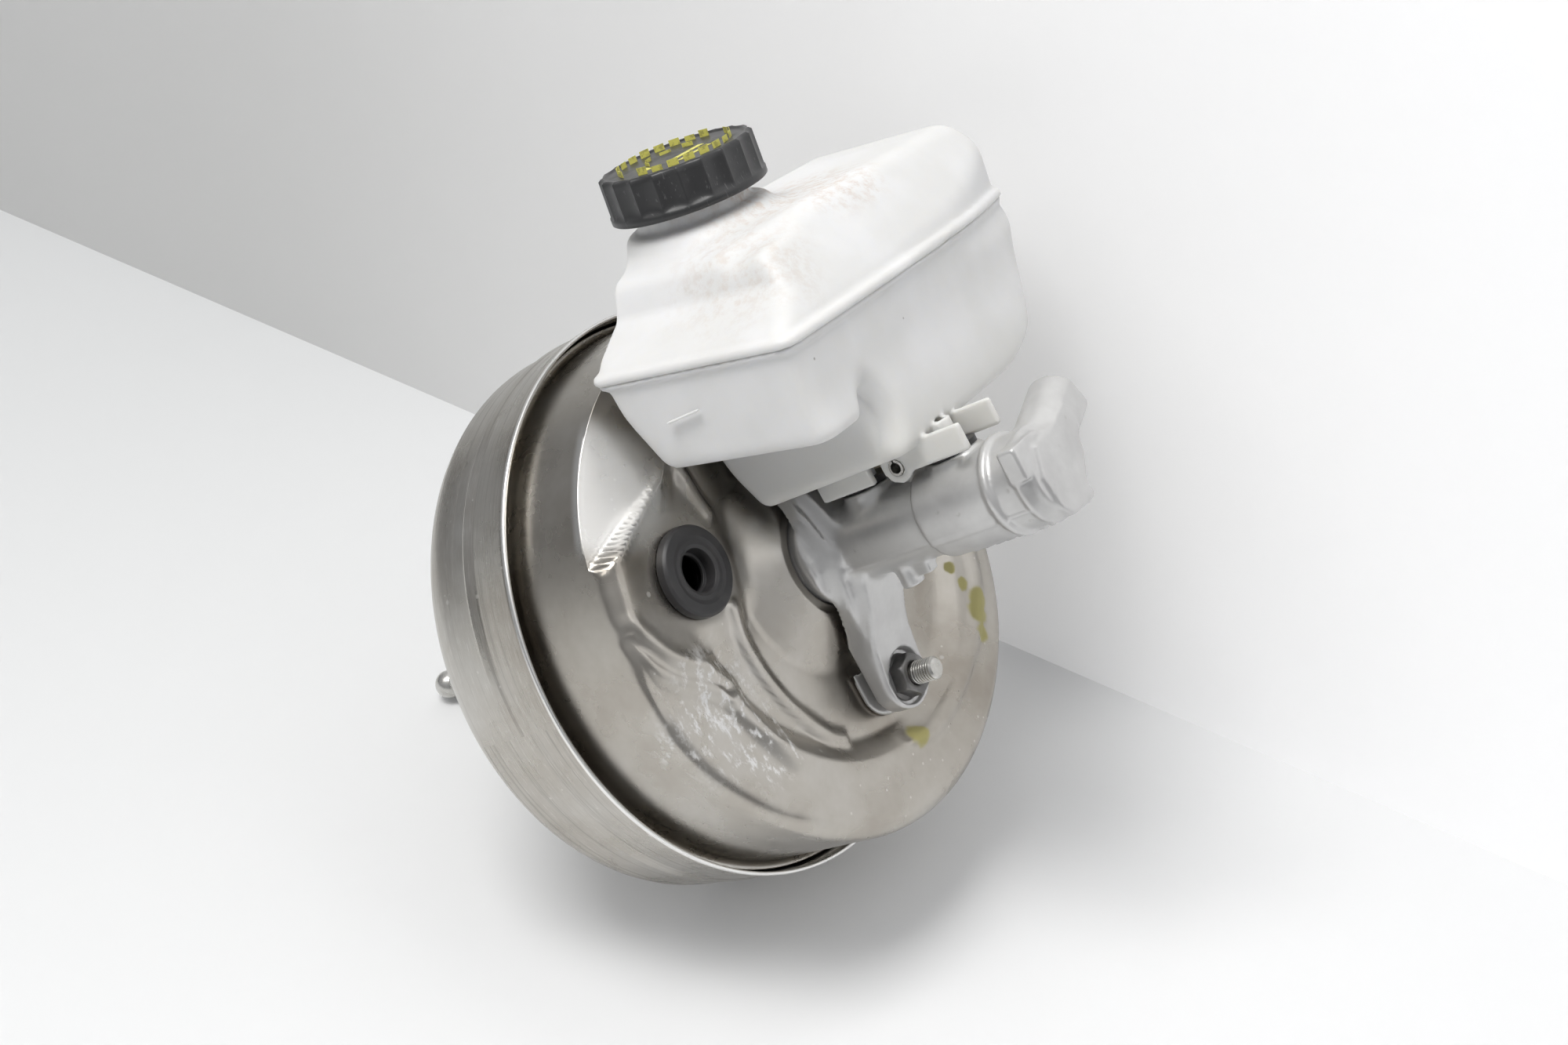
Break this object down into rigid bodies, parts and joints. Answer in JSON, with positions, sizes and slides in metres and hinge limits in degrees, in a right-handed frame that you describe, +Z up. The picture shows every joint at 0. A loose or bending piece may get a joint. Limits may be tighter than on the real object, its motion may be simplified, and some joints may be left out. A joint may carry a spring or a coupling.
{
  "type": "brake booster",
  "caption": "Vacuum brake booster with two pressed shells, tandem master cylinder and a white fluid reservoir with screw cap.",
  "frame": {"origin": "centre of the booster's rear mounting face, at the centre of the rear stud circle", "axes": "+X forward along the booster and master cylinder axis, +Z up, +Y towards the reservoir's long side"},
  "size_m": [0.4065, 0.2637, 0.3164],
  "materials": {
    "shell_metal": "polished, mottled",
    "plate_steel": "phosphated",
    "bolt_steel": "zinc plated",
    "nut_steel": "dark phosphate",
    "black_rubber": "matt",
    "valve_plastic": "moulded",
    "spring_steel": "bright wire",
    "filter_felt": "open foam",
    "plunger_metal": "machined",
    "cast_aluminium": "as cast, satin",
    "piston_aluminium": "anodised",
    "guide_plastic": "moulded",
    "white_plastic": "translucent white",
    "black_plastic": "satin"
  },
  "bodies": {
    "housing": {"rear_shell": "shell_metal", "front_shell": "shell_metal", "rear_stiffener": "plate_steel", "tie_bolts": "bolt_steel", "tie_bolt_nuts": "nut_steel", "rear_studs": "bolt_steel", "tie_bolt_orings": "black_rubber", "vacuum_grommet": "black_rubber", "guide_seal": "black_rubber", "diaphragm": "black_rubber", "return_spring": "spring_steel", "dust_boot": "black_rubber", "master_cylinder_body": "cast_aluminium", "flange_oring": "black_rubber", "piston_guide": "guide_plastic", "circlip": "spring_steel", "reservoir_lower": "white_plastic", "reservoir_upper": "white_plastic", "reservoir_grommets": "black_rubber", "reservoir_pin": "bolt_steel", "strainer": "white_plastic", "secondary_spring": "spring_steel"},
    "power_piston": {"diaphragm_plate": "plate_steel", "valve_body": "valve_plastic", "tie_bolt_sleeves": "black_rubber", "stop_key": "valve_plastic", "reaction_disc": "black_rubber", "output_rod": "bolt_steel", "rod_retainer": "spring_steel", "poppet_valve": "black_rubber", "poppet_retainer": "spring_steel", "poppet_spring": "spring_steel", "air_filter": "filter_felt", "filter_retainer": "valve_plastic", "input_rod_spring": "spring_steel"},
    "valve_plunger": {"valve_plunger": "plunger_metal"},
    "pushrod": {"pedal_pushrod": "bolt_steel"},
    "primary_piston": {"primary_piston": "piston_aluminium", "primary_seals": "black_rubber", "primary_spring": "spring_steel"},
    "secondary_piston": {"secondary_piston": "piston_aluminium", "secondary_seals": "black_rubber"},
    "cap_thread": {"cap_seal": "black_rubber"},
    "cap": {"cap": "black_plastic"},
    "level_float": {"level_float": "guide_plastic"}
  },
  "joints": [
    {"name": "booster_stroke", "type": "slide", "parent": "housing", "child": "power_piston", "axis": [1, 0, 0], "range_m": [0, 0.032], "stiffness_N_per_m": 2500, "springref_m": -0.03, "deforming": ["return_spring", "diaphragm", "dust_boot"]},
    {"name": "plunger_travel", "type": "slide", "parent": "power_piston", "child": "valve_plunger", "axis": [1, 0, 0], "range_m": [0, 0.0015], "stiffness_N_per_m": 3000, "springref_m": -0.004, "deforming": ["input_rod_spring", "dust_boot"]},
    {"name": "pushrod_swing", "type": "hinge", "parent": "valve_plunger", "child": "pushrod", "pos_m": [0.004, 0, 0], "axis": [0, 1, 0], "range_deg": [-3, 3], "deforming": ["dust_boot", "input_rod_spring"]},
    {"name": "primary_stroke", "type": "slide", "parent": "housing", "child": "primary_piston", "axis": [1, 0, 0], "range_m": [0, 0.032], "deforming": ["primary_spring"]},
    {"name": "secondary_stroke", "type": "slide", "parent": "housing", "child": "secondary_piston", "axis": [1, 0, 0], "range_m": [0, 0.016], "deforming": ["secondary_spring", "primary_spring"]},
    {"name": "cap_lift", "type": "slide", "parent": "housing", "child": "cap_thread", "axis": [0.225, -0.05, 0.9731], "range_m": [0, 0.006]},
    {"name": "cap_turn", "type": "hinge", "parent": "cap_thread", "child": "cap", "pos_m": [0.15, 0.002, 0.1774], "axis": [0.225, -0.05, 0.9731], "range_deg": [0, 360]},
    {"name": "float_drop", "type": "slide", "parent": "housing", "child": "level_float", "axis": [0, 0, 1], "range_m": [-0.022, 0]}
  ],
  "couplings": [
    {"joint": "primary_stroke", "follows": "booster_stroke", "ratio": 1},
    {"joint": "secondary_stroke", "follows": "booster_stroke", "ratio": 0.5},
    {"joint": "cap_turn", "follows": "cap_lift", "rad_per_m": 1047.2}
  ]
}
